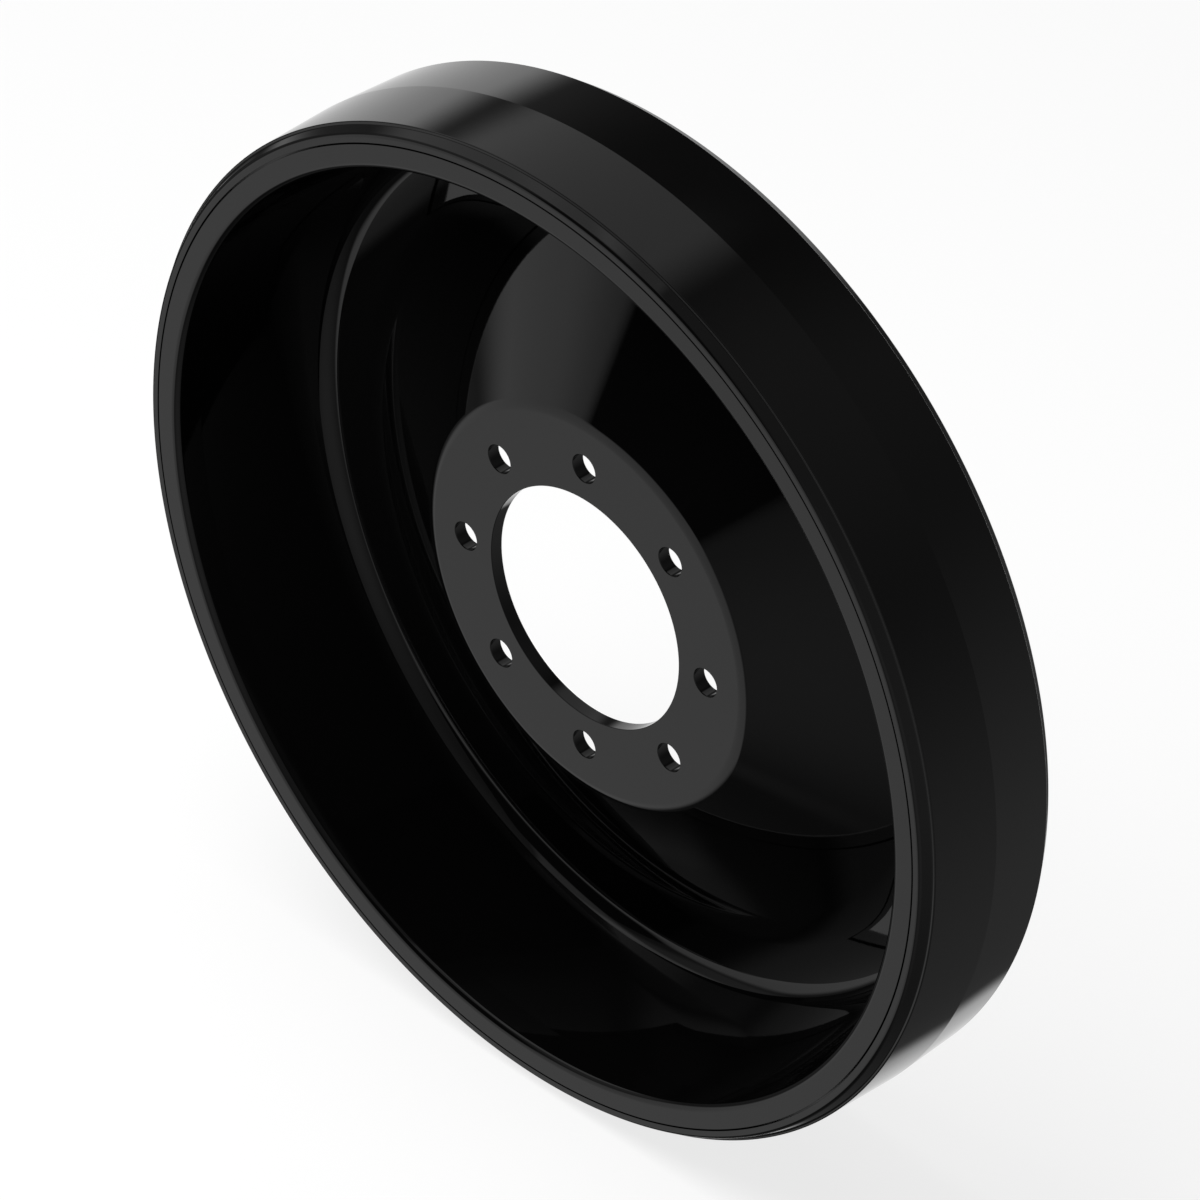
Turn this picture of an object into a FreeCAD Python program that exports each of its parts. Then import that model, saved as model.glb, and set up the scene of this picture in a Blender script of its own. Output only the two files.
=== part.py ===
"""Track idler wheel: a welded steel wheel with a dished disc and a bonded rubber tyre.

All sizes are in millimetres. The wheel turns about Y. The origin is on the axis, in the
rear face of the hub flange, where the hub seats. The open front of the wheel looks
towards -Y, and +Z is up.
"""
import FreeCAD, Part
import math
import os

# Hub flange of the disc
disc_plate = 12.0
bore_d = 215.0
bolt_circle_d = 275.0
bolt_hole_d = 25.0
bolt_count = 8
hub_flat_d = 357.0
hub_bend_r = 8.0

# Dish of the disc, from the hub flange back to the flat rim flange
dish_depth = 79.0
rim_flange_width = 61.2
rim_bend_r = 60.0

# Inner barrel, a plate cone that opens towards the front, a little clear of the rim band
barrel_gap = 3.3
barrel_plate = 10.0
barrel_taper = 10.1
barrel_lip = 9.0

# Front edge ring
front_reach = 70.8
ring_height = 25.0
ring_width = 25.0
ring_taper = 8.5
ring_corner_r = 6.5
ring_outer_chamfer = 0.6

# Rim band and the ring that closes the rim at the rear
rim_d = 863.0
band_plate = 10.0
rim_width = 145.2
closing_plate = 12.0
closing_inset = 9.0

# Rubber tyre
tyre_face_height = 8.1
shoulder_depth = 9.9
shoulder_rise = 4.8
ledge_rise = 2.4
ridge_from_front = 75.6
crown_rise_front = 2.5
crown_rise_rear = 2.3
seam_chamfer = 0.6

# Weld metal
disc_weld_r = 13.6
disc_rear_leg = 8.0
closing_weld_leg = 8.0

# Gap left between plates before welding
weld_fit = 0.2

# Places along the axis that follow from the sizes above
hub_front = -disc_plate
wheel_front = hub_front - front_reach
ring_back = wheel_front + ring_width
rim_rear = wheel_front + rim_width
flange_front = hub_front + dish_depth
flange_rear = flange_front + disc_plate
barrel_rear = flange_rear + barrel_lip
closing_rear = rim_rear - closing_inset
closing_front = closing_rear - closing_plate

# Radii that follow
rim_r = rim_d / 2
band_inside = rim_r - band_plate


def barrel_outside(along):
    """Radius of the barrel's outer wall at a place along the axis."""
    mouth_r = band_inside - barrel_gap
    return mouth_r - (along - ring_back) * math.tan(math.radians(barrel_taper))


def barrel_inside(along):
    """Radius of the barrel's inner wall at a place along the axis."""
    return barrel_outside(along) - barrel_plate / math.cos(math.radians(barrel_taper))


def point(radius, along):
    """A point of the wheel's half section."""
    return FreeCAD.Vector(radius, along, 0)


def rounding(corner, side_a, side_b, radius):
    """Start, middle and end of the arc that rounds the corner between two sides."""
    along_a = (side_a - corner).normalize()
    along_b = (side_b - corner).normalize()
    half_angle = along_a.getAngle(along_b) / 2
    reach = radius / math.tan(half_angle)
    inward = (along_a + along_b).normalize()
    centre = corner + inward * (radius / math.sin(half_angle))
    return corner + along_a * reach, centre - inward * radius, corner + along_b * reach


def line(start, end):
    return Part.LineSegment(start, end).toShape()


def arc(start, middle, end):
    return Part.Arc(start, middle, end).toShape()


def turned(edges):
    """The solid that a closed half section sweeps round the axis."""
    face = Part.Face(Part.Wire(edges))
    solid = face.revolve(FreeCAD.Vector(0, 0, 0), FreeCAD.Vector(0, 1, 0), 360)
    if solid.Volume < 0:
        solid.reverse()
    return solid


def turned_outline(corners):
    """A turned solid from corners given as (radius, along, rounding radius or 0)."""
    places = [point(radius, along) for radius, along, _ in corners]
    bends = []
    for index, (_, _, bend_r) in enumerate(corners):
        here = places[index]
        after = places[(index + 1) % len(places)]
        if bend_r:
            bends.append(rounding(here, places[index - 1], after, bend_r))
        else:
            bends.append((here, None, here))
    edges = []
    for index, (start, middle, end) in enumerate(bends):
        if middle is not None:
            edges.append(arc(start, middle, end))
        next_start = bends[(index + 1) % len(bends)][0]
        edges.append(line(end, next_start))
    return turned(edges)


def fillet_weld(corner, side_a, side_b, radius):
    """Weld metal with a hollow face, tangent to both sides of a corner."""
    toe_a, middle, toe_b = rounding(corner, side_a, side_b, radius)
    return turned([line(corner, toe_a), arc(toe_a, middle, toe_b), line(toe_b, corner)])


def bead_weld(corner, side_a, side_b, leg):
    """Weld metal with a flat face and two equal legs along the sides of a corner."""
    toe_a = corner + (side_a - corner).normalize() * leg
    toe_b = corner + (side_b - corner).normalize() * leg
    return turned([line(corner, toe_a), line(toe_a, toe_b), line(toe_b, corner)])


def bolt_holes():
    """Through holes on the bolt circle, one of them straight up."""
    holes = []
    for index in range(bolt_count):
        angle = math.radians(90 + index * 360 / bolt_count)
        centre_x = bolt_circle_d / 2 * math.cos(angle)
        centre_z = bolt_circle_d / 2 * math.sin(angle)
        start = FreeCAD.Vector(centre_x, hub_front, centre_z)
        axis = FreeCAD.Vector(0, 1, 0)
        holes.append(Part.makeCylinder(bolt_hole_d / 2, disc_plate, start, axis))
    return Part.Compound(holes)


def wheel_disc():
    """Pressed plate: flat hub flange, cone, wide bend and flat rim flange."""
    hub_corner = hub_flat_d / 2
    rim_corner = barrel_inside(flange_front) - rim_flange_width
    cone_angle = math.atan2(dish_depth, rim_corner - hub_corner)
    rear_shift = disc_plate * math.tan(cone_angle / 2)
    bore_r = bore_d / 2
    disc = turned_outline([
        (bore_r, hub_front, 0),
        (hub_corner, hub_front, hub_bend_r + disc_plate),
        (rim_corner, flange_front, rim_bend_r),
        (barrel_inside(flange_front) - weld_fit, flange_front, 0),
        (barrel_inside(flange_rear) - weld_fit, flange_rear, 0),
        (rim_corner - rear_shift, flange_rear, rim_bend_r + disc_plate),
        (hub_corner - rear_shift, 0, hub_bend_r),
        (bore_r, 0, 0),
    ])
    return disc.cut(bolt_holes())


def inner_barrel():
    """Rolled plate cone that carries the disc and reaches forward to the edge ring."""
    return turned_outline([
        (barrel_inside(ring_back), ring_back, 0),
        (barrel_outside(ring_back), ring_back, 0),
        (barrel_outside(barrel_rear), barrel_rear, 0),
        (barrel_inside(barrel_rear), barrel_rear, 0),
    ])


def front_edge_ring():
    """Bar ring round the open front, rounded where hands and mud slide over it."""
    back_inside = rim_r - ring_height
    front_inside = back_inside + ring_width * math.tan(math.radians(ring_taper))
    return turned_outline([
        (front_inside, wheel_front, ring_corner_r),
        (rim_r - ring_outer_chamfer, wheel_front, 0),
        (rim_r, wheel_front + ring_outer_chamfer, 0),
        (rim_r, ring_back, 0),
        (back_inside, ring_back, 0),
    ])


def rim_band():
    """Rolled band under the tyre, from the edge ring to the rear edge."""
    return turned_outline([
        (band_inside, ring_back, 0),
        (rim_r, ring_back, 0),
        (rim_r, rim_rear, 0),
        (band_inside, rim_rear, 0),
    ])


def rear_closing_ring():
    """Plate ring that closes the hollow rim at the rear, set in for its welds."""
    return turned_outline([
        (barrel_outside(closing_front) + weld_fit, closing_front, 0),
        (band_inside - weld_fit, closing_front, 0),
        (band_inside - weld_fit, closing_rear, 0),
        (barrel_outside(closing_rear) + weld_fit, closing_rear, 0),
    ])


def tread_tyre():
    """Rubber tyre: upright side faces, sloping shoulders, small ledges, ridge at mid width."""
    face_r = rim_r + tyre_face_height
    shoulder_r = face_r + shoulder_rise
    ledge_r = shoulder_r + ledge_rise
    front_ledge = wheel_front + shoulder_depth
    rear_ledge = rim_rear - shoulder_depth
    ridge_along = wheel_front + ridge_from_front
    ridge_r = ledge_r + crown_rise_front
    rear_ledge_r = ridge_r - crown_rise_rear
    return turned_outline([
        (rim_r + seam_chamfer, wheel_front, 0),
        (face_r, wheel_front, 0),
        (shoulder_r, front_ledge, 0),
        (ledge_r, front_ledge, 0),
        (ridge_r, ridge_along, 0),
        (rear_ledge_r, rear_ledge, 0),
        (shoulder_r, rear_ledge, 0),
        (face_r, rim_rear, 0),
        (rim_r, rim_rear, 0),
        (rim_r, wheel_front + seam_chamfer, 0),
    ])


def disc_front_weld():
    """Smooth hollow weld in the corner between the disc and the barrel, seen from the front."""
    corner = point(barrel_inside(flange_front), flange_front)
    along_disc = point(0, flange_front)
    along_barrel = point(barrel_inside(ring_back), ring_back)
    return fillet_weld(corner, along_disc, along_barrel, disc_weld_r)


def disc_rear_weld():
    """Bead between the disc's rear face and the barrel's lip."""
    corner = point(barrel_inside(flange_rear), flange_rear)
    along_disc = point(0, flange_rear)
    along_barrel = point(barrel_inside(barrel_rear), barrel_rear)
    return bead_weld(corner, along_disc, along_barrel, disc_rear_leg)


def closing_outer_weld():
    """Bead between the closing ring and the rim band."""
    corner = point(band_inside, closing_rear)
    along_ring = point(0, closing_rear)
    along_band = point(band_inside, rim_rear)
    return bead_weld(corner, along_ring, along_band, closing_weld_leg)


def closing_inner_weld():
    """Bead between the closing ring and the outside of the barrel."""
    corner = point(barrel_outside(closing_rear), closing_rear)
    along_ring = point(rim_r, closing_rear)
    along_barrel = point(barrel_outside(barrel_rear), barrel_rear)
    return bead_weld(corner, along_ring, along_barrel, closing_weld_leg)


PIECES = {
    "wheel_disc": wheel_disc,
    "inner_barrel": inner_barrel,
    "front_edge_ring": front_edge_ring,
    "rim_band": rim_band,
    "rear_closing_ring": rear_closing_ring,
    "tread_tyre": tread_tyre,
    "disc_front_weld": disc_front_weld,
    "disc_rear_weld": disc_rear_weld,
    "closing_outer_weld": closing_outer_weld,
    "closing_inner_weld": closing_inner_weld,
}

os.makedirs("parts", exist_ok=True)
for name, make in PIECES.items():
    shape = make()
    shape.exportStep(f"parts/{name}.step")
    box = shape.BoundBox
    print(f"{name}: {len(shape.Solids)} solid, valid {shape.isValid()}, "
          f"{shape.Volume / 1e6:.2f} litres, Y {box.YMin:.1f} to {box.YMax:.1f}, "
          f"radius {box.XMax:.1f}")
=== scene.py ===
"""Visual model of a track idler wheel: a painted steel wheel with a bonded rubber tyre.

All lengths are in metres. The wheel's axis is Y, its open front looks towards -Y and +Z is up.
"""
import math

import bmesh
import bpy
from mathutils import Matrix, Vector


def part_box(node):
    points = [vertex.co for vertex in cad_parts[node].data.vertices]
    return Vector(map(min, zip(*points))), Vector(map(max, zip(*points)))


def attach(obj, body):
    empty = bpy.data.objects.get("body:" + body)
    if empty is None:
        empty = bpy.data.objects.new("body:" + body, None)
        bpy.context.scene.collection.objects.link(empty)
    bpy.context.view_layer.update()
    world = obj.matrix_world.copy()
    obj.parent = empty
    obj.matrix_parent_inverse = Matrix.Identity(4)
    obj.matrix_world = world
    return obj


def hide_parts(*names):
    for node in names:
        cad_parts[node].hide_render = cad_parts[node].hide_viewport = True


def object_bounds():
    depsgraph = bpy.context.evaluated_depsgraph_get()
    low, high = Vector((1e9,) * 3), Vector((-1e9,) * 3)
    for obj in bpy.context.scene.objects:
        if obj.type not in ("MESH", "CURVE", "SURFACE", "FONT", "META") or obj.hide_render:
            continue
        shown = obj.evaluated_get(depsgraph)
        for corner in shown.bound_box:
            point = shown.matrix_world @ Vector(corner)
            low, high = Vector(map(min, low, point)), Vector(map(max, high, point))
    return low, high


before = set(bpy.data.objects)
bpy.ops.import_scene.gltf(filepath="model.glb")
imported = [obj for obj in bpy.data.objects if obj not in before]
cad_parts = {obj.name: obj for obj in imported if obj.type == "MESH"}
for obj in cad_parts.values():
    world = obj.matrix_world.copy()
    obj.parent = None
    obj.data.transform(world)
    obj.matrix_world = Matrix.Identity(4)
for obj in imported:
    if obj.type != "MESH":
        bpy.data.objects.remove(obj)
cad_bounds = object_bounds()

bl_info = {
    "name": "Track Idler Wheel",
    "version": (1, 0, 0),
    "blender": (4, 5, 0),
    "location": "3D View > Sidebar > Idler Wheel",
    "description": "Builds the painted steel wheel, its rubber tyre and a plain studio",
    "category": "Object",
}

BODY = "root"
# A turned piece is made as this many equal sectors
SECTORS = 8
# Clearance of the disc and the closing ring against the plates that they are welded to
PLATE_FIT = 0.0002

# Points nearer than this are one point: on a turned piece, and on a small cutter or weld face
SAME_POINT = 1e-5
SAME_FINE_POINT = 1e-6

# Roundings above this radius have fine steps, the others coarse ones
WIDE_ROUNDING = 0.003
FINE_ARC_STEP = math.radians(4)
COARSE_ARC_STEP = math.radians(23)

# Corners above this angle stay crisp in the shading: on most pieces, and on rippled beads
CRISP_ANGLE = math.radians(32)
BEAD_CRISP_ANGLE = math.radians(45)

# Steps round each bolt hole, and how far its cutter stands out of the plate
HOLE_STEPS = 64
CUTTER_BEYOND = 0.002

# Steps across the face of the front weld
WELD_FACE_STEPS = 16

# The rear weld beads: steps across the face, steps along each ripple, height of the face's
# middle, how far a ripple's middle trails its ends (in radians of its wave), and the share of
# the face that stays plain beside either toe
BEAD_FACE_STEPS = 6
STEPS_PER_RIPPLE = 3
BEAD_CROWN = 0.00035
RIPPLE_BOW = 2.2
PLAIN_TOE = 0.01

# Colour sockets of a Mix node: its two colour inputs and its colour result
MIX_COLOUR_A = 6
MIX_COLOUR_B = 7
MIX_COLOUR_RESULT = 2

SENSOR_WIDTH_MM = 36.0


def lowest(node, axis):
    """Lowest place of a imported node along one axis."""
    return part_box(node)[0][axis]


def highest(node, axis):
    """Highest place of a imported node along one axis."""
    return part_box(node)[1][axis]


class WheelSizes(bpy.types.PropertyGroup):
    """Sizes of the wheel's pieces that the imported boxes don't give."""

    segments: bpy.props.IntProperty(
        name="Segments", description="Steps round each turned piece", default=360, min=32)
    bore_r: bpy.props.FloatProperty(
        name="Bore radius", description="Radius of the centre bore",
        default=0.1075, unit="LENGTH")
    bolt_circle_r: bpy.props.FloatProperty(
        name="Bolt circle radius", description="Radius of the circle through the bolt holes",
        default=0.1375, unit="LENGTH")
    bolt_hole_r: bpy.props.FloatProperty(
        name="Bolt hole radius", description="Radius of each bolt hole",
        default=0.0125, unit="LENGTH")
    bolt_count: bpy.props.IntProperty(
        name="Bolt holes", description="Number of bolt holes", default=8, min=3)
    hub_flat_r: bpy.props.FloatProperty(
        name="Hub flat radius", description="Where the flat hub flange meets the cone",
        default=0.1785, unit="LENGTH")
    plate: bpy.props.FloatProperty(
        name="Disc plate", description="Thickness of the disc's plate",
        default=0.012, unit="LENGTH")
    rim_flange_width: bpy.props.FloatProperty(
        name="Rim flange width", description="From the wide bend's corner to the barrel",
        default=0.0612, unit="LENGTH")
    hub_bend_r: bpy.props.FloatProperty(
        name="Hub bend", description="Inside radius of the bend beside the hub flange",
        default=0.008, unit="LENGTH")
    rim_bend_r: bpy.props.FloatProperty(
        name="Rim bend", description="Front radius of the wide bend outside the cone",
        default=0.060, unit="LENGTH")
    barrel_taper: bpy.props.FloatProperty(
        name="Barrel taper", description="Angle of the barrel's wall from the axis",
        default=math.radians(10.1), subtype="ANGLE")
    barrel_plate: bpy.props.FloatProperty(
        name="Barrel plate", description="Thickness of the barrel's plate",
        default=0.010, unit="LENGTH")
    ring_height: bpy.props.FloatProperty(
        name="Edge ring height", description="Radial height of the front edge ring",
        default=0.025, unit="LENGTH")
    ring_taper: bpy.props.FloatProperty(
        name="Edge ring taper", description="Angle of the ring's inner band from the axis",
        default=math.radians(8.5), subtype="ANGLE")
    ring_corner_r: bpy.props.FloatProperty(
        name="Edge ring rounding", description="Rounding of the ring's inner front corner",
        default=0.0065, unit="LENGTH")
    tyre_face_height: bpy.props.FloatProperty(
        name="Tyre face height", description="Height of the tyre's flat side face",
        default=0.0081, unit="LENGTH")
    shoulder_depth: bpy.props.FloatProperty(
        name="Shoulder depth", description="How far the shoulder runs in from the side face",
        default=0.0099, unit="LENGTH")
    shoulder_rise: bpy.props.FloatProperty(
        name="Shoulder rise", description="How far the shoulder slopes up",
        default=0.0048, unit="LENGTH")
    ledge_rise: bpy.props.FloatProperty(
        name="Ledge rise", description="Height of the small ledge beside the tread",
        default=0.0024, unit="LENGTH")
    ridge_from_front: bpy.props.FloatProperty(
        name="Ridge place", description="Distance of the tread's ridge from the front face",
        default=0.0756, unit="LENGTH")
    crown_front: bpy.props.FloatProperty(
        name="Front crown", description="Rise of the tread from the front ledge to the ridge",
        default=0.0025, unit="LENGTH")
    crown_rear: bpy.props.FloatProperty(
        name="Rear crown", description="Fall of the tread from the ridge to the rear ledge",
        default=0.0023, unit="LENGTH")
    weld_reach: bpy.props.FloatProperty(
        name="Front weld reach", description="From the front weld's corner to either toe",
        default=0.0114, unit="LENGTH")
    weld_r: bpy.props.FloatProperty(
        name="Front weld radius", description="Hollow radius of the front weld's face",
        default=0.0207, unit="LENGTH")
    rear_weld_leg: bpy.props.FloatProperty(
        name="Rear weld leg", description="Leg of the weld beads at the rear",
        default=0.008, unit="LENGTH")
    ripple_pitch: bpy.props.FloatProperty(
        name="Ripple pitch", description="Distance from one weld ripple to the next",
        default=0.0045, unit="LENGTH")
    ripple_height: bpy.props.FloatProperty(
        name="Ripple height", description="Height of the weld ripples",
        default=0.00022, unit="LENGTH")
    fine_round: bpy.props.FloatProperty(
        name="Fine rounding", description="Rounding of plain steel and rubber edges",
        default=0.0006, unit="LENGTH")
    face_round: bpy.props.FloatProperty(
        name="Tyre face rounding", description="Rounding between side face and shoulder",
        default=0.0040, unit="LENGTH")
    ledge_round: bpy.props.FloatProperty(
        name="Ledge rounding", description="Rounding of the small ledge's foot and edge",
        default=0.0012, unit="LENGTH")
    seam_round: bpy.props.FloatProperty(
        name="Seam rounding", description="Rounding beside the seam of steel and rubber",
        default=0.00025, unit="LENGTH")
    seam_gap: bpy.props.FloatProperty(
        name="Seam gap", description="Width of the crevice between steel and rubber",
        default=0.0013, unit="LENGTH")
    seam_depth: bpy.props.FloatProperty(
        name="Seam depth", description="Depth of the crevice between steel and rubber",
        default=0.008, unit="LENGTH")


class WheelFinish(bpy.types.PropertyGroup):
    """Colours and gloss of the wheel."""

    paint: bpy.props.FloatVectorProperty(
        name="Paint", description="Colour of the enamel", subtype="COLOR",
        default=(0.0016, 0.0016, 0.0017), min=0.0, max=1.0)
    paint_roughness: bpy.props.FloatProperty(
        name="Paint roughness", description="Mean roughness of the enamel",
        default=0.030, min=0.0, max=1.0, subtype="FACTOR")
    paint_spread: bpy.props.FloatProperty(
        name="Paint gloss spread", description="How far the enamel's roughness wanders",
        default=0.03, min=0.0, max=1.0, subtype="FACTOR")
    paint_dust: bpy.props.FloatProperty(
        name="Dust on paint", description="Strength of the dust film on the enamel",
        default=0.25, min=0.0, max=1.0, subtype="FACTOR")
    rubber: bpy.props.FloatVectorProperty(
        name="Rubber", description="Colour of the rubber", subtype="COLOR",
        default=(0.0020, 0.0020, 0.0021), min=0.0, max=1.0)
    rubber_roughness: bpy.props.FloatProperty(
        name="Rubber roughness", description="Mean roughness of the rubber",
        default=0.045, min=0.0, max=1.0, subtype="FACTOR")
    rubber_spread: bpy.props.FloatProperty(
        name="Rubber gloss spread", description="How far the rubber's roughness wanders",
        default=0.04, min=0.0, max=1.0, subtype="FACTOR")
    rubber_dust: bpy.props.FloatProperty(
        name="Dust on rubber", description="Strength of the dust film on the rubber",
        default=0.35, min=0.0, max=1.0, subtype="FACTOR")
    relief: bpy.props.FloatProperty(
        name="Relief", description="Height of the fine surface grain",
        default=0.000005, unit="LENGTH", precision=6)
    dust: bpy.props.FloatVectorProperty(
        name="Dust", description="Colour of the thin dust film", subtype="COLOR",
        default=(0.012, 0.0112, 0.010), min=0.0, max=1.0)


class WheelStage(bpy.types.PropertyGroup):
    """Studio floor, surroundings and camera."""

    view_azimuth: bpy.props.FloatProperty(
        name="View azimuth", description="Camera direction, from the front towards +X",
        default=math.radians(45.68), subtype="ANGLE")
    view_elevation: bpy.props.FloatProperty(
        name="View elevation", description="Camera height above the horizon",
        default=math.radians(36.61), subtype="ANGLE")
    image_px: bpy.props.FloatProperty(
        name="Image side", description="Side of the square picture in pixels", default=1200.0)
    focal_px: bpy.props.FloatProperty(
        name="Focal length", description="Focal length in pixels", default=7786.0)
    hub_px: bpy.props.FloatVectorProperty(
        name="Hub place", description="Pixel of the hub face's centre in the picture",
        size=2, default=(583.92, 608.50))
    px_per_m: bpy.props.FloatProperty(
        name="Pixels per metre", description="Picture scale at the hub face", default=1248.0)
    floor_side: bpy.props.FloatProperty(
        name="Floor side", description="Side of the floor", default=60.0, unit="LENGTH")
    floor_grey: bpy.props.FloatProperty(
        name="Floor grey", description="Share of the lamp's light that the floor scatters",
        default=0.30, min=0.0, max=1.0, subtype="FACTOR")
    floor_glow: bpy.props.FloatProperty(
        name="Floor glow", description="Light that the floor adds to look white",
        default=0.79, min=0.0)
    lamp_place: bpy.props.FloatVectorProperty(
        name="Lamp place", description="Where the overhead lamp hangs",
        size=3, default=(-0.8, -0.8, 3.0), subtype="TRANSLATION")
    lamp_size: bpy.props.FloatProperty(
        name="Lamp size", description="Diameter of the overhead lamp",
        default=3.0, unit="LENGTH")
    lamp_power: bpy.props.FloatProperty(
        name="Lamp power", description="Power of the overhead lamp in watts", default=80.0)


def sizes():
    """The wheel's sizes."""
    return bpy.context.scene.wheel_sizes


def finish_values():
    """The wheel's colours and gloss."""
    return bpy.context.scene.wheel_finish


def stage_values():
    """The settings of the floor, the lamp and the camera."""
    return bpy.context.scene.wheel_stage


def barrel_outside(along):
    """Outer radius of the barrel at a place along the axis."""
    from_mouth = along - lowest("inner_barrel", 1)
    return highest("inner_barrel", 0) - from_mouth * math.tan(sizes().barrel_taper)


def barrel_inside(along):
    """Inner radius of the barrel at a place along the axis."""
    return barrel_outside(along) - sizes().barrel_plate / math.cos(sizes().barrel_taper)


def section_loop(bm, corners):
    """A closed loop in the wheel's half section, its corners rounded.

    Each corner is (radius, along, rounding), with a rounding of 0 for a plain corner.
    """
    verts = [bm.verts.new((radius, along, 0.0)) for radius, along, _ in corners]
    for index, vert in enumerate(verts):
        bm.edges.new((verts[index - 1], vert))
    places = [vert.co.copy() for vert in verts]
    for index, (_, _, rounding) in enumerate(corners):
        if not rounding:
            continue
        here = places[index]
        before = (places[index - 1] - here).normalized()
        after = (places[(index + 1) % len(places)] - here).normalized()
        turn = math.pi - before.angle(after)
        bmesh.ops.bevel(
            bm, geom=[verts[index]], offset=rounding * math.tan(turn / 2),
            offset_type="OFFSET", segments=max(2, math.ceil(turn / arc_step(rounding))),
            profile=0.5, affect="VERTICES", material=-1, clamp_overlap=False)


def arc_step(rounding):
    """Turn of each facet of an arc: fine on wide bends, coarse on small edge roundings."""
    return FINE_ARC_STEP if rounding > WIDE_ROUNDING else COARSE_ARC_STEP


def turn_round(bm, steps):
    """Turn a half section round the axis: one sector, then its copies, then one closed skin."""
    sector = math.tau / SECTORS
    bmesh.ops.spin(bm, geom=bm.verts[:] + bm.edges[:], cent=(0, 0, 0), axis=(0, 1, 0),
                   angle=sector, steps=steps // SECTORS)
    bmesh.ops.spin(bm, geom=bm.verts[:] + bm.edges[:] + bm.faces[:], cent=(0, 0, 0),
                   axis=(0, 1, 0), angle=math.tau - sector, steps=SECTORS - 1,
                   use_duplicate=True)
    bmesh.ops.remove_doubles(bm, verts=bm.verts, dist=SAME_POINT)
    bmesh.ops.recalc_face_normals(bm, faces=bm.faces)


def finished_mesh(bm, name):
    """The mesh that a bmesh holds."""
    mesh = bpy.data.meshes.new(name)
    bm.to_mesh(mesh)
    bm.free()
    return mesh


def turned_mesh(name, corners):
    """A closed mesh turned round the axis from its half section."""
    bm = bmesh.new()
    section_loop(bm, corners)
    turn_round(bm, sizes().segments)
    return finished_mesh(bm, name)


def crisp(mesh, angle=CRISP_ANGLE):
    """Smooth shading that breaks at real corners."""
    mesh.shade_smooth()
    mesh.set_sharp_from_angle(angle=angle)
    return mesh


def crisp_circle(mesh, radius, along):
    """Break the shading along one circle of the wheel."""
    sharp = (mesh.attributes.get("sharp_edge")
             or mesh.attributes.new("sharp_edge", "BOOLEAN", "EDGE"))
    on_circle = {vert.index for vert in mesh.vertices
                 if abs(vert.co.y - along) < SAME_POINT
                 and abs(math.hypot(vert.co.x, vert.co.z) - radius) < SAME_POINT}
    for edge in mesh.edges:
        if on_circle.issuperset(edge.vertices):
            sharp.data[edge.index].value = True


def piece(name, mesh, material, slot, *nodes):
    """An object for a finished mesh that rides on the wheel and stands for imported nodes."""
    obj = bpy.data.objects.new(name, mesh)
    bpy.context.scene.collection.objects.link(obj)
    mesh.materials.append(material)
    level = obj.modifiers.new("Flat faces stay flat", "WEIGHTED_NORMAL")
    level.keep_sharp = True
    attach(obj, BODY)
    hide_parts(*nodes)
    return obj


def new_group(name, inputs, outputs):
    """An empty shader node group with named float inputs and outputs."""
    group = bpy.data.node_groups.new(name, "ShaderNodeTree")
    for socket_name, default in inputs:
        socket = group.interface.new_socket(
            name=socket_name, in_out="INPUT", socket_type="NodeSocketFloat")
        socket.default_value = default
    for socket_name in outputs:
        group.interface.new_socket(
            name=socket_name, in_out="OUTPUT", socket_type="NodeSocketFloat")
    entry = group.nodes.new("NodeGroupInput")
    leave = group.nodes.new("NodeGroupOutput")
    return group, entry.outputs, leave.inputs


def feed(links, socket, value):
    """Give an input socket a plain number, or link it to an output socket."""
    if isinstance(value, (int, float)):
        socket.default_value = value
    else:
        links.new(value, socket)


def noise(nodes, links, coordinates, scale, detail, roughness=0.5):
    """A noise texture's value on the given coordinates. Its scale is a number or a socket."""
    texture = nodes.new("ShaderNodeTexNoise")
    links.new(coordinates, texture.inputs["Vector"])
    feed(links, texture.inputs["Scale"], scale)
    texture.inputs["Detail"].default_value = detail
    texture.inputs["Roughness"].default_value = roughness
    return texture.outputs["Fac"]


def math_node(nodes, links, operation, first, second=None, third=None):
    """One math step on sockets or numbers."""
    node = nodes.new("ShaderNodeMath")
    node.operation = operation
    for socket, value in zip(node.inputs, (first, second, third)):
        if value is not None:
            feed(links, socket, value)
    return node.outputs["Value"]


def gloss_variation_group():
    """Roughness that wanders softly, with fine streaks, round a mean value."""
    group, entry, leave = new_group(
        "Gloss variation", [("Mean", 0.1), ("Spread", 0.02), ("Scale", 9.0)], ["Roughness"])
    nodes, links = group.nodes, group.links
    place = nodes.new("ShaderNodeTexCoord").outputs["Object"]
    broad = noise(nodes, links, place, scale=entry["Scale"], detail=3.0)
    fine = noise(nodes, links, place, scale=160.0, detail=4.0, roughness=0.6)
    fine_share = 0.4
    centred = math_node(nodes, links, "SUBTRACT", broad, 0.5)
    centred_fine = math_node(nodes, links, "SUBTRACT", fine, 0.5)
    mixed = math_node(nodes, links, "MULTIPLY_ADD", centred_fine, fine_share, centred)
    wander = math_node(nodes, links, "MULTIPLY", mixed, entry["Spread"])
    total = math_node(nodes, links, "ADD", wander, entry["Mean"])
    links.new(total, leave["Roughness"])
    return group


def surface_grain_group():
    """Height of a fine surface grain: a slow ripple and a small pebble."""
    group, entry, leave = new_group(
        "Surface grain", [("Ripple scale", 220.0), ("Pebble scale", 1500.0), ("Pebble", 0.3)],
        ["Height"])
    nodes, links = group.nodes, group.links
    place = nodes.new("ShaderNodeTexCoord").outputs["Object"]
    ripple = noise(nodes, links, place, scale=entry["Ripple scale"], detail=1.0)
    pebble = noise(nodes, links, place, scale=entry["Pebble scale"], detail=2.0)
    total = math_node(nodes, links, "MULTIPLY_ADD", pebble, entry["Pebble"], ripple)
    links.new(total, leave["Height"])
    return group


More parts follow.
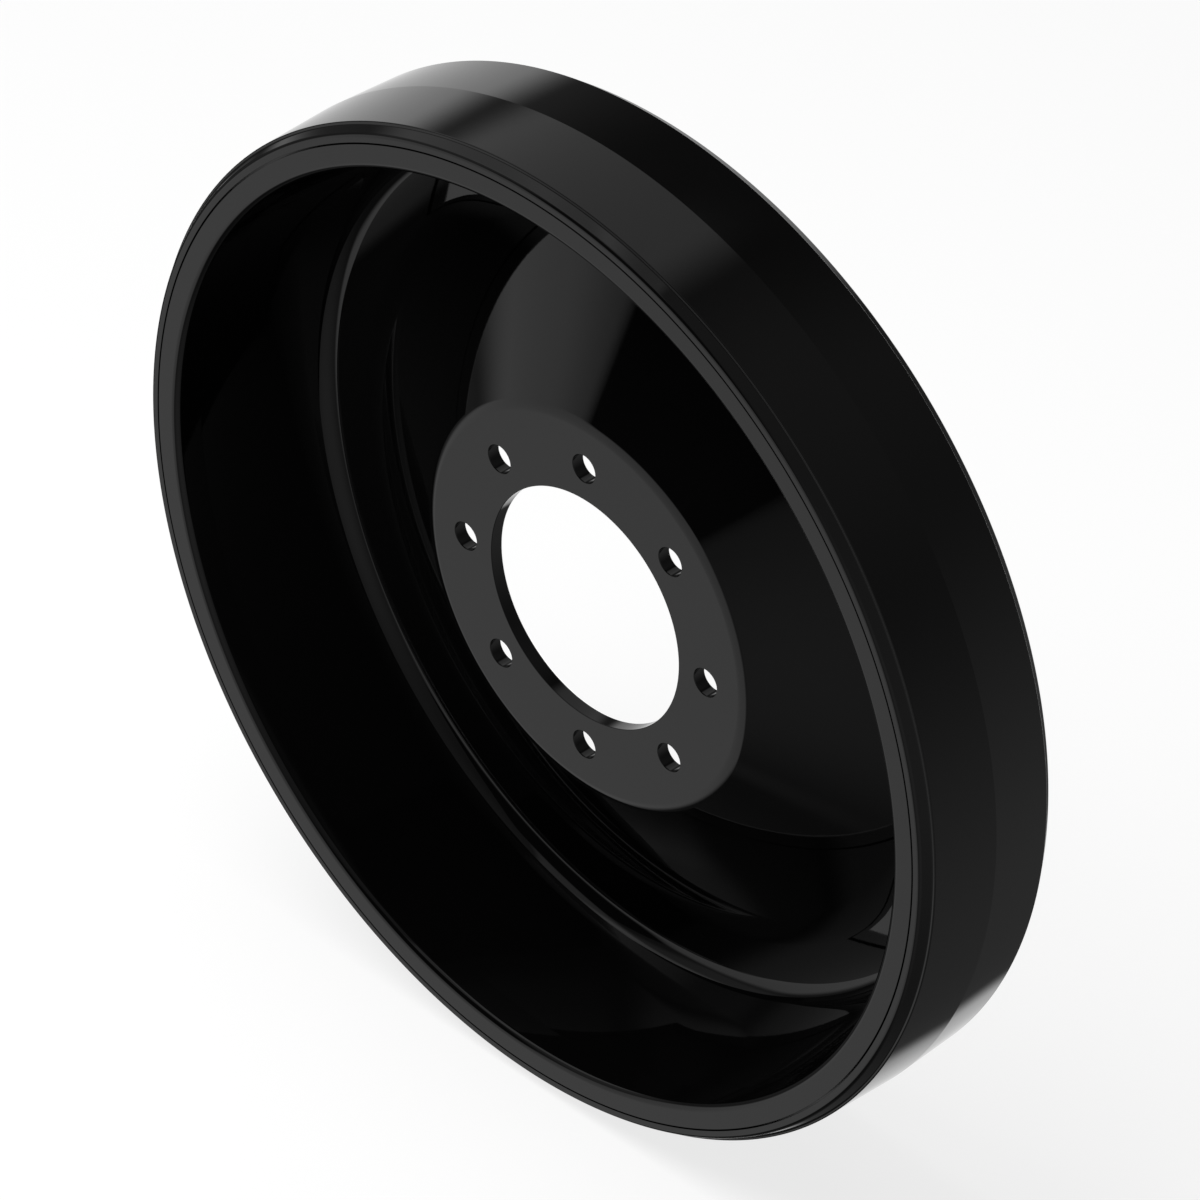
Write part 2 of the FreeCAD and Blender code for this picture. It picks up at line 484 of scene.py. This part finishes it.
def dust_film_group():
    """Mask of a thin dust film: upward faces hold more, in soft patches."""
    group, entry, leave = new_group(
        "Dust film", [("Amount", 0.2), ("Patch scale", 7.0)], ["Mask"])
    nodes, links = group.nodes, group.links
    place = nodes.new("ShaderNodeTexCoord").outputs["Object"]
    facing = nodes.new("ShaderNodeSeparateXYZ")
    links.new(nodes.new("ShaderNodeNewGeometry").outputs["Normal"], facing.inputs["Vector"])
    # From 0 on faces that look down to 1 on faces that look up
    upward = math_node(nodes, links, "MULTIPLY_ADD", facing.outputs["Z"], 0.5, 0.5)
    patches = noise(nodes, links, place, scale=entry["Patch scale"], detail=5.0)
    specks = noise(nodes, links, place, scale=900.0, detail=2.0, roughness=0.7)
    patchy = math_node(nodes, links, "MULTIPLY", patches, specks)
    held = math_node(nodes, links, "MULTIPLY", patchy, upward)
    mask = math_node(nodes, links, "MULTIPLY", held, entry["Amount"])
    links.new(mask, leave["Mask"])
    return group


GROUPS = {
    "Gloss variation": gloss_variation_group,
    "Surface grain": surface_grain_group,
    "Dust film": dust_film_group,
}


def group_node(nodes, title, values):
    """A node of one of the shared groups, built at its first use, with its input values."""
    node = nodes.new("ShaderNodeGroup")
    node.node_tree = bpy.data.node_groups.get(title) or GROUPS[title]()
    for name, value in values.items():
        node.inputs[name].default_value = value
    return node


def coated_material(name, colour, gloss_values, dust_amount, grain_values):
    """A dark smooth finish: colour with a dust film, wandering gloss and fine grain."""
    material = bpy.data.materials.new(name)
    material.use_nodes = True
    nodes, links = material.node_tree.nodes, material.node_tree.links
    shader = nodes["Principled BSDF"]
    gloss = group_node(nodes, "Gloss variation", gloss_values)
    links.new(gloss.outputs["Roughness"], shader.inputs["Roughness"])
    dust = group_node(nodes, "Dust film", {"Amount": dust_amount})
    blend = nodes.new("ShaderNodeMix")
    blend.data_type = "RGBA"
    links.new(dust.outputs["Mask"], blend.inputs["Factor"])
    blend.inputs[MIX_COLOUR_A].default_value = (*colour, 1.0)
    blend.inputs[MIX_COLOUR_B].default_value = (*finish_values().dust, 1.0)
    links.new(blend.outputs[MIX_COLOUR_RESULT], shader.inputs["Base Color"])
    grain = group_node(nodes, "Surface grain", grain_values)
    bump = nodes.new("ShaderNodeBump")
    bump.inputs["Strength"].default_value = 1.0
    bump.inputs["Distance"].default_value = finish_values().relief
    links.new(grain.outputs["Height"], bump.inputs["Height"])
    links.new(bump.outputs["Normal"], shader.inputs["Normal"])
    return material


def black_enamel():
    """Gloss black enamel on steel, with a faint orange peel."""
    values = finish_values()
    return bpy.data.materials.get("black_enamel") or coated_material(
        "black_enamel", values.paint,
        {"Mean": values.paint_roughness, "Spread": values.paint_spread}, values.paint_dust,
        {"Ripple scale": 150.0, "Pebble scale": 1400.0, "Pebble": 0.10})


def moulded_rubber():
    """Smooth moulded rubber with a satin shine and a fine pebble."""
    values = finish_values()
    return bpy.data.materials.get("moulded_rubber") or coated_material(
        "moulded_rubber", values.rubber,
        {"Mean": values.rubber_roughness, "Spread": values.rubber_spread}, values.rubber_dust,
        {"Ripple scale": 110.0, "Pebble scale": 2200.0, "Pebble": 0.25})


class WHEEL_OT_disc(bpy.types.Operator):
    """Build the pressed disc with its bore, bolt holes, cone and rim flange"""

    bl_idname = "wheel.disc"
    bl_label = "Pressed disc"

    def execute(self, context):
        size = sizes()
        front, rear = lowest("wheel_disc", 1), 0.0
        flange_rear = highest("wheel_disc", 1)
        flange_front = flange_rear - size.plate
        rim_corner = barrel_inside(flange_front) - size.rim_flange_width
        cone_angle = math.atan2(flange_front - front, rim_corner - size.hub_flat_r)
        rear_shift = size.plate * math.tan(cone_angle / 2)
        mesh = turned_mesh("wheel_disc_pressed", [
            (size.bore_r, front, size.fine_round),
            (size.hub_flat_r, front, size.hub_bend_r + size.plate),
            (rim_corner, flange_front, size.rim_bend_r),
            (highest("wheel_disc", 0), flange_front, 0),
            (barrel_inside(flange_rear) - PLATE_FIT, flange_rear, 0),
            (rim_corner - rear_shift, flange_rear, size.rim_bend_r + size.plate),
            (size.hub_flat_r - rear_shift, rear, size.hub_bend_r),
            (size.bore_r, rear, size.fine_round),
        ])
        mesh = self.drill(mesh, front, rear)
        piece("wheel_disc_pressed", crisp(mesh), black_enamel(), "black_paint", "wheel_disc")
        return {"FINISHED"}

    def drill(self, mesh, front, rear):
        """Cut the bolt holes, the first straight up, each with finely flared edges."""
        size = sizes()
        drills = bmesh.new()
        for index in range(size.bolt_count):
            angle = math.tau * (0.25 + index / size.bolt_count)
            place = Vector((math.cos(angle), 0, math.sin(angle))) * size.bolt_circle_r
            self.add_drill(drills, place, front, rear)
        blank = bpy.data.objects.new("blank", mesh)
        cutter = bpy.data.objects.new("drill", finished_mesh(drills, "drill"))
        for obj in (blank, cutter):
            bpy.context.scene.collection.objects.link(obj)
        cut = blank.modifiers.new("Bolt holes", "BOOLEAN")
        cut.operation = "DIFFERENCE"
        cut.solver = "EXACT"
        cut.object = cutter
        drilled = bpy.data.meshes.new_from_object(
            blank.evaluated_get(bpy.context.evaluated_depsgraph_get()))
        drilled.name = mesh.name
        for obj in (blank, cutter):
            bpy.data.objects.remove(obj)
        return drilled

    def add_drill(self, bm, place, front, rear):
        """One cutter: a bar that flares a little at both faces of the plate."""
        size = sizes()
        radius = size.bolt_hole_r
        flare = size.fine_round
        outline = [
            (0.0, front - CUTTER_BEYOND),
            (radius + flare, front - CUTTER_BEYOND),
            (radius + flare, front),
            (radius, front + flare),
            (radius, rear - flare),
            (radius + flare, rear),
            (radius + flare, rear + CUTTER_BEYOND),
            (0.0, rear + CUTTER_BEYOND),
        ]
        verts = [bm.verts.new(place + Vector((reach, along, 0))) for reach, along in outline]
        edges = [bm.edges.new(pair) for pair in zip(verts, verts[1:])]
        bmesh.ops.spin(bm, geom=verts + edges, cent=place, axis=(0, 1, 0),
                       angle=math.tau, steps=HOLE_STEPS, use_merge=True)
        bmesh.ops.remove_doubles(bm, verts=bm.verts, dist=SAME_FINE_POINT)
        bmesh.ops.recalc_face_normals(bm, faces=bm.faces)


class WHEEL_OT_barrel(bpy.types.Operator):
    """Build the barrel, the rolled cone between the disc and the edge ring"""

    bl_idname = "wheel.barrel"
    bl_label = "Inner barrel"

    def execute(self, context):
        front, rear = lowest("inner_barrel", 1), highest("inner_barrel", 1)
        size = sizes()
        mesh = turned_mesh("inner_barrel_rolled", [
            (barrel_inside(front), front, 0),
            (barrel_outside(front), front, 0),
            (barrel_outside(rear), rear, size.fine_round * 2),
            (barrel_inside(rear), rear, size.fine_round * 2),
        ])
        piece("inner_barrel_rolled", crisp(mesh), black_enamel(), "black_paint", "inner_barrel")
        return {"FINISHED"}


class WHEEL_OT_edge_ring(bpy.types.Operator):
    """Build the front edge ring with its rounded inner corner"""

    bl_idname = "wheel.edge_ring"
    bl_label = "Front edge ring"

    def execute(self, context):
        size = sizes()
        front, back = lowest("front_edge_ring", 1), highest("front_edge_ring", 1)
        outside = highest("front_edge_ring", 0)
        back_inside = outside - size.ring_height
        front_inside = back_inside + (back - front) * math.tan(size.ring_taper)
        mesh = turned_mesh("front_edge_ring_rounded", [
            (front_inside, front, size.ring_corner_r),
            (outside, front, size.seam_round),
            (outside, back, 0),
            (back_inside, back, size.fine_round),
        ])
        piece("front_edge_ring_rounded", crisp(mesh), black_enamel(), "black_paint",
              "front_edge_ring")
        return {"FINISHED"}


class WHEEL_OT_tyre(bpy.types.Operator):
    """Build the bonded rubber tyre with its shoulders, ledges and ridge"""

    bl_idname = "wheel.tyre"
    bl_label = "Rubber tyre"

    def execute(self, context):
        size = sizes()
        front, rear = lowest("tread_tyre", 1), highest("tread_tyre", 1)
        inside = highest("front_edge_ring", 0)
        face_r = inside + size.tyre_face_height
        shoulder_r = face_r + size.shoulder_rise
        ledge_r = shoulder_r + size.ledge_rise
        ridge_r = ledge_r + size.crown_front
        rear_ledge_r = ridge_r - size.crown_rear
        ridge = front + size.ridge_from_front
        front_ledge, rear_ledge = front + size.shoulder_depth, rear - size.shoulder_depth
        soft, crease = size.face_round, size.ledge_round
        mesh = turned_mesh("tread_tyre_moulded", [
            (inside + size.seam_gap, front, size.seam_round),
            (face_r, front, soft),
            (shoulder_r, front_ledge, crease),
            (ledge_r, front_ledge, crease),
            (ridge_r, ridge, 0),
            (rear_ledge_r, rear_ledge, crease),
            (shoulder_r, rear_ledge, crease),
            (face_r, rear, soft),
            (inside, rear, 0),
            (inside, front + size.seam_depth, 0),
            (inside + size.seam_gap, front + size.seam_depth, 0),
        ])
        crisp(mesh)
        crisp_circle(mesh, ridge_r, ridge)
        piece("tread_tyre_moulded", mesh, moulded_rubber(), "tyre_rubber", "tread_tyre")
        return {"FINISHED"}


class WHEEL_OT_front_weld(bpy.types.Operator):
    """Build the smooth hollow weld between the disc and the barrel"""

    bl_idname = "wheel.front_weld"
    bl_label = "Front weld"

    def execute(self, context):
        size = sizes()
        along = highest("disc_front_weld", 1)
        corner = Vector((barrel_inside(along), along, 0))
        down_barrel = Vector((math.sin(size.barrel_taper), -math.cos(size.barrel_taper), 0))
        toe_disc = corner + Vector((-size.weld_reach, 0, 0))
        toe_barrel = corner + down_barrel * size.weld_reach
        bm = bmesh.new()
        verts = [bm.verts.new(toe_disc), bm.verts.new(corner), bm.verts.new(toe_barrel)]
        bm.edges.new(verts[:2])
        bm.edges.new(verts[1:])
        self.hollow_face(bm, toe_disc, toe_barrel, corner)
        turn_round(bm, size.segments)
        mesh = crisp(finished_mesh(bm, "disc_front_weld_hollow"))
        piece(mesh.name, mesh, black_enamel(), "black_paint", "disc_front_weld")
        return {"FINISHED"}

    def hollow_face(self, bm, toe_disc, toe_barrel, corner):
        """Spin the disc's toe round the hollow's centre to the barrel's toe."""
        radius = sizes().weld_r
        middle = (toe_disc + toe_barrel) / 2
        half_chord = (toe_barrel - toe_disc).length / 2
        away = (middle - corner).normalized()
        centre = middle + away * math.sqrt(radius ** 2 - half_chord ** 2)
        sweep = 2 * math.asin(half_chord / radius)
        start = bm.verts.new(toe_disc)
        bmesh.ops.spin(bm, geom=[start], cent=centre, axis=(0, 0, -1), angle=sweep,
                       steps=WELD_FACE_STEPS)
        bmesh.ops.remove_doubles(bm, verts=bm.verts, dist=SAME_FINE_POINT)


class WHEEL_OT_rear_welds(bpy.types.Operator):
    """Build the rippled weld beads at the rear of the disc and of the closing ring"""

    bl_idname = "wheel.rear_welds"
    bl_label = "Rear weld beads"

    def execute(self, context):
        flange_rear = highest("wheel_disc", 1)
        closing_rear = highest("rear_closing_ring", 1)
        taper = sizes().barrel_taper
        up_barrel = Vector((-math.sin(taper), math.cos(taper), 0))
        band_inside = highest("closing_outer_weld", 0)
        self.bead("disc_rear_weld", Vector((barrel_inside(flange_rear), flange_rear, 0)),
                  Vector((-1, 0, 0)), up_barrel)
        self.bead("closing_outer_weld", Vector((band_inside, closing_rear, 0)),
                  Vector((-1, 0, 0)), Vector((0, 1, 0)))
        self.bead("closing_inner_weld",
                  Vector((barrel_outside(closing_rear), closing_rear, 0)),
                  Vector((1, 0, 0)), up_barrel)
        return {"FINISHED"}

    def bead(self, node, corner, side_a, side_b):
        """One bead: a triangle of weld metal, its face raised in ripples along its run."""
        leg = sizes().rear_weld_leg
        toe_a, toe_b = corner + side_a * leg, corner + side_b * leg
        outward = ((toe_a + toe_b) / 2 - corner).normalized()
        bm = bmesh.new()
        loop = [bm.verts.new(corner)]
        for step in range(BEAD_FACE_STEPS + 1):
            share = step / BEAD_FACE_STEPS
            raised = BEAD_CROWN * math.sin(math.pi * share)
            loop.append(bm.verts.new(toe_a.lerp(toe_b, share) + outward * raised))
        for index, vert in enumerate(loop):
            bm.edges.new((loop[index - 1], vert))
        ripples = SECTORS * int(math.tau * corner.x / SECTORS / sizes().ripple_pitch)
        turn_round(bm, ripples * STEPS_PER_RIPPLE)
        self.ripple(bm, toe_a, toe_b, outward, ripples)
        mesh = crisp(finished_mesh(bm, node + "_bead"), angle=BEAD_CRISP_ANGLE)
        piece(mesh.name, mesh, black_enamel(), "black_paint", node)

    def ripple(self, bm, toe_a, toe_b, outward, ripples):
        """Raise and lower the bead's face along its run, with each ripple bowed at its middle."""
        width = (toe_b - toe_a).length
        along_face = (toe_b - toe_a).normalized()
        for vert in bm.verts:
            radius = math.hypot(vert.co.x, vert.co.z)
            angle = math.atan2(vert.co.z, vert.co.x)
            flat = Vector((radius, vert.co.y, 0))
            share = (flat - toe_a).dot(along_face) / width
            above = (flat - toe_a).dot(outward)
            if above < 0.0 or not PLAIN_TOE < share < 1 - PLAIN_TOE:
                continue
            bow = math.sin(math.pi * share)
            wave = math.cos(ripples * angle - RIPPLE_BOW * bow)
            height = sizes().ripple_height * bow * wave
            flat += outward * height
            vert.co = Vector((flat.x * math.cos(angle), flat.y, flat.x * math.sin(angle)))


class WHEEL_OT_rim(bpy.types.Operator):
    """Build the rim band under the tyre and the plate ring that closes the rim at the rear"""

    bl_idname = "wheel.rim"
    bl_label = "Rim band and closing ring"

    def execute(self, context):
        size = sizes()
        band_inside = highest("closing_outer_weld", 0)
        band_outside = highest("rim_band", 0)
        front, rear = lowest("rim_band", 1), highest("rim_band", 1)
        band = turned_mesh("rim_band_rolled", [
            (band_inside, front, 0),
            (band_outside, front, 0),
            (band_outside, rear, size.fine_round),
            (band_inside, rear, size.fine_round * 2),
        ])
        piece(band.name, crisp(band), black_enamel(), "black_paint", "rim_band")
        front, rear = lowest("rear_closing_ring", 1), highest("rear_closing_ring", 1)
        outside = highest("rear_closing_ring", 0)
        ring = turned_mesh("rear_closing_ring_flat", [
            (barrel_outside(front) + PLATE_FIT, front, 0),
            (outside, front, 0),
            (outside, rear, 0),
            (barrel_outside(rear) + PLATE_FIT, rear, 0),
        ])
        piece(ring.name, crisp(ring), black_enamel(), "black_paint", "rear_closing_ring")
        return {"FINISHED"}


def soft_step(nodes, links, value, start, end):
    """0 before start, 1 after end and a smooth rise between them."""
    node = nodes.new("ShaderNodeMapRange")
    node.interpolation_type = "SMOOTHSTEP"
    node.inputs["From Min"].default_value = start
    node.inputs["From Max"].default_value = end
    links.new(value, node.inputs["Value"])
    return node.outputs["Result"]


# Soft panels of the surroundings, and a dark card with a brightness below 0: azimuth from +X
# towards +Y and elevation, in degrees, as (left, right, low, high, edge softness, brightness)
PANELS = [
    (-155.5, -91, -55, 9.5, 5.5, 0.49),
    (104, 162, -57, 11.5, 6, 0.80),
    (-172, -135, 15, 61, 5, 0.13),
    (-150, -94, 50, 84, 5, 0.24),
    (-125, -88, 1, 47, 3.5, -0.50),
]

# Round soft lamps, and round dark cards with a brightness below 0:
# (azimuth, elevation, radius, edge softness, brightness)
ROUND_LAMPS = [
    (-41, -16, 36, 28, 0.19),
    (59, -20, 26, 21, 0.17),
    (-11, 58, 40, 20, 0.05),
    (-110, -67, 22, 12, -0.05),
    (108, 38, 26, 12, -0.07),
    (163, -24, 13, 4, -0.81),
]

# One more round lamp, cut off inside a wide circle: both as above, without a brightness
CUT_LAMP = (158, 52, 34, 5)
CUT_LAMP_EDGE = (92, -10, 60.3, 1.5)
CUT_LAMP_LIGHT = 0.43

# Light between the panels and lamps, and the least light that a dark card leaves
SKY_LEVEL = 0.09
DARKEST = 0.015


class WHEEL_OT_stage(bpy.types.Operator):
    """Set up the pale floor, the soft surroundings, the lamps and the camera"""

    bl_idname = "wheel.stage"
    bl_label = "Studio"

    def execute(self, context):
        self.floor()
        self.surroundings()
        self.lamps()
        self.camera()
        context.scene.view_settings.view_transform = "Standard"
        return {"FINISHED"}

    def floor(self):
        """A white floor that keeps the wheel's shadow."""
        stage = stage_values()
        bm = bmesh.new()
        bmesh.ops.create_grid(bm, x_segments=1, y_segments=1, size=stage.floor_side / 2)
        bmesh.ops.translate(bm, verts=bm.verts, vec=(0, 0, cad_bounds[0][2]))
        mesh = finished_mesh(bm, "studio_floor")
        obj = bpy.data.objects.new("studio_floor", mesh)
        bpy.context.scene.collection.objects.link(obj)
        obj.visible_glossy = False
        material = bpy.data.materials.new("white_floor")
        material.use_nodes = True
        nodes, links = material.node_tree.nodes, material.node_tree.links
        nodes.remove(nodes["Principled BSDF"])
        matt = nodes.new("ShaderNodeBsdfDiffuse")
        grey = stage.floor_grey
        matt.inputs["Color"].default_value = (grey, grey, grey, 1)
        glow = nodes.new("ShaderNodeEmission")
        glow.inputs["Color"].default_value = (1, 1, 1, 1)
        ray = nodes.new("ShaderNodeLightPath")
        seen = math_node(nodes, links, "MAXIMUM", ray.outputs["Is Camera Ray"],
                         ray.outputs["Is Glossy Ray"])
        strength = math_node(nodes, links, "MULTIPLY", seen, stage.floor_glow)
        links.new(strength, glow.inputs["Strength"])
        both = nodes.new("ShaderNodeAddShader")
        links.new(matt.outputs["BSDF"], both.inputs[0])
        links.new(glow.outputs["Emission"], both.inputs[1])
        links.new(both.outputs["Shader"], nodes["Material Output"].inputs["Surface"])
        mesh.materials.append(material)

    def surroundings(self):
        """White to the camera, and soft grey panels to everything else."""
        world = bpy.data.worlds.new("studio")
        bpy.context.scene.world = world
        world.use_nodes = True
        nodes, links = world.node_tree.nodes, world.node_tree.links
        direction = nodes.new("ShaderNodeTexCoord").outputs["Generated"]
        split = nodes.new("ShaderNodeSeparateXYZ")
        links.new(direction, split.inputs["Vector"])
        azimuth = math_node(nodes, links, "ARCTAN2", split.outputs["Y"], split.outputs["X"])
        elevation = math_node(nodes, links, "ARCSINE", split.outputs["Z"])
        light = SKY_LEVEL
        for *edges, bright in PANELS:
            shade = self.panel(nodes, links, azimuth, elevation, *map(math.radians, edges))
            light = math_node(nodes, links, "MULTIPLY_ADD", shade, bright, light)
        for *place, bright in ROUND_LAMPS:
            shade = self.round_lamp(nodes, links, direction, *map(math.radians, place))
            light = math_node(nodes, links, "MULTIPLY_ADD", shade, bright, light)
        lamp = self.round_lamp(nodes, links, direction, *map(math.radians, CUT_LAMP))
        edge = self.round_lamp(nodes, links, direction, *map(math.radians, CUT_LAMP_EDGE))
        left = math_node(nodes, links, "MULTIPLY", lamp,
                         math_node(nodes, links, "SUBTRACT", 1.0, edge))
        light = math_node(nodes, links, "MULTIPLY_ADD", left, CUT_LAMP_LIGHT, light)
        light = math_node(nodes, links, "MAXIMUM", light, DARKEST)
        ray = nodes.new("ShaderNodeLightPath")
        pick = nodes.new("ShaderNodeMix")
        pick.data_type = "FLOAT"
        links.new(ray.outputs["Is Camera Ray"], pick.inputs["Factor"])
        links.new(light, pick.inputs["A"])
        pick.inputs["B"].default_value = 1.0
        background = nodes["Background"]
        background.inputs["Color"].default_value = (1, 1, 1, 1)
        links.new(pick.outputs["Result"], background.inputs["Strength"])

    def panel(self, nodes, links, azimuth, elevation, left, right, low, high, soft):
        """Mask of one soft panel by direction. Its azimuth may run past a half turn."""
        centre, half = (left + right) / 2, (right - left) / 2
        offset = math_node(nodes, links, "SUBTRACT", azimuth, centre)
        turned = math_node(nodes, links, "WRAP", offset, math.pi, -math.pi)
        across = math_node(nodes, links, "ABSOLUTE", turned)
        beside = soft_step(nodes, links, across, half - soft, half + soft)
        below = soft_step(nodes, links, elevation, low - soft, low + soft)
        above = soft_step(nodes, links, elevation, high - soft, high + soft)
        inside = math_node(nodes, links, "SUBTRACT", 1.0, beside)
        between = math_node(nodes, links, "SUBTRACT", below, above)
        return math_node(nodes, links, "MULTIPLY", inside, between)

    def round_lamp(self, nodes, links, direction, azimuth, elevation, radius, soft):
        """Mask of one round lamp or card by direction."""
        aim = nodes.new("ShaderNodeVectorMath")
        aim.operation = "DOT_PRODUCT"
        links.new(direction, aim.inputs[0])
        aim.inputs[1].default_value = (math.cos(azimuth) * math.cos(elevation),
                                       math.sin(azimuth) * math.cos(elevation),
                                       math.sin(elevation))
        apart = math_node(nodes, links, "ARCCOSINE", aim.outputs["Value"])
        outside = soft_step(nodes, links, apart, radius - soft, radius + soft)
        return math_node(nodes, links, "SUBTRACT", 1.0, outside)

    def lamps(self):
        """One large soft lamp overhead that gives the floor its faint shadow."""
        stage = stage_values()
        data = bpy.data.lights.new("overhead_lamp", "AREA")
        data.shape = "DISK"
        data.size = stage.lamp_size
        data.energy = stage.lamp_power
        obj = bpy.data.objects.new("overhead_lamp", data)
        obj.location = stage.lamp_place
        obj.rotation_euler = (-obj.location).to_track_quat("-Z", "Y").to_euler()
        obj.visible_glossy = False
        obj.visible_camera = False
        bpy.context.scene.collection.objects.link(obj)

    def camera(self):
        """A camera at the picture's angle, distance and framing."""
        stage = stage_values()
        azimuth, elevation = stage.view_azimuth, stage.view_elevation
        back = Vector((math.sin(azimuth) * math.cos(elevation),
                       -math.cos(azimuth) * math.cos(elevation), math.sin(elevation)))
        right = (-back).cross(Vector((0, 0, 1))).normalized()
        up = back.cross(right)
        hub = Vector((0, lowest("wheel_disc", 1), 0))
        half = stage.image_px / 2
        aside = (stage.hub_px[0] - half) / stage.px_per_m
        below = (stage.hub_px[1] - half) / stage.px_per_m
        distance = stage.focal_px / stage.px_per_m
        data = bpy.data.cameras.new("camera")
        data.sensor_width = SENSOR_WIDTH_MM
        data.lens = data.sensor_width * stage.focal_px / stage.image_px
        data.clip_end = 100.0
        obj = bpy.data.objects.new("camera", data)
        bpy.context.scene.collection.objects.link(obj)
        place = Matrix((right, up, back)).transposed().to_4x4()
        place.translation = hub - right * aside + up * below + back * distance
        obj.matrix_world = place
        bpy.context.scene.camera = obj


OPERATORS = (
    WHEEL_OT_disc, WHEEL_OT_barrel, WHEEL_OT_edge_ring, WHEEL_OT_tyre, WHEEL_OT_front_weld,
    WHEEL_OT_rear_welds, WHEEL_OT_rim, WHEEL_OT_stage)


class WHEEL_PT_panel(bpy.types.Panel):
    """Lists the wheel's pieces and settings"""

    bl_idname = "WHEEL_PT_panel"
    bl_label = "Idler Wheel"
    bl_space_type = "VIEW_3D"
    bl_region_type = "UI"
    bl_category = "Idler Wheel"

    def draw(self, context):
        for operator in OPERATORS:
            self.layout.operator(operator.bl_idname)
        for group in (context.scene.wheel_sizes, context.scene.wheel_finish,
                      context.scene.wheel_stage):
            box = self.layout.box()
            for name in group.__annotations__:
                box.prop(group, name)


CLASSES = (WheelSizes, WheelFinish, WheelStage) + OPERATORS + (WHEEL_PT_panel,)


def register():
    for cls in CLASSES:
        bpy.utils.register_class(cls)
    bpy.types.Scene.wheel_sizes = bpy.props.PointerProperty(type=WheelSizes)
    bpy.types.Scene.wheel_finish = bpy.props.PointerProperty(type=WheelFinish)
    bpy.types.Scene.wheel_stage = bpy.props.PointerProperty(type=WheelStage)


def unregister():
    del bpy.types.Scene.wheel_stage
    del bpy.types.Scene.wheel_finish
    del bpy.types.Scene.wheel_sizes
    for cls in reversed(CLASSES):
        bpy.utils.unregister_class(cls)


def main():
    register()
    bpy.ops.wheel.disc()
    bpy.ops.wheel.barrel()
    bpy.ops.wheel.edge_ring()
    bpy.ops.wheel.tyre()
    bpy.ops.wheel.front_weld()
    bpy.ops.wheel.rear_welds()
    bpy.ops.wheel.rim()
    bpy.ops.wheel.stage()


if __name__ == "__main__":
    main()
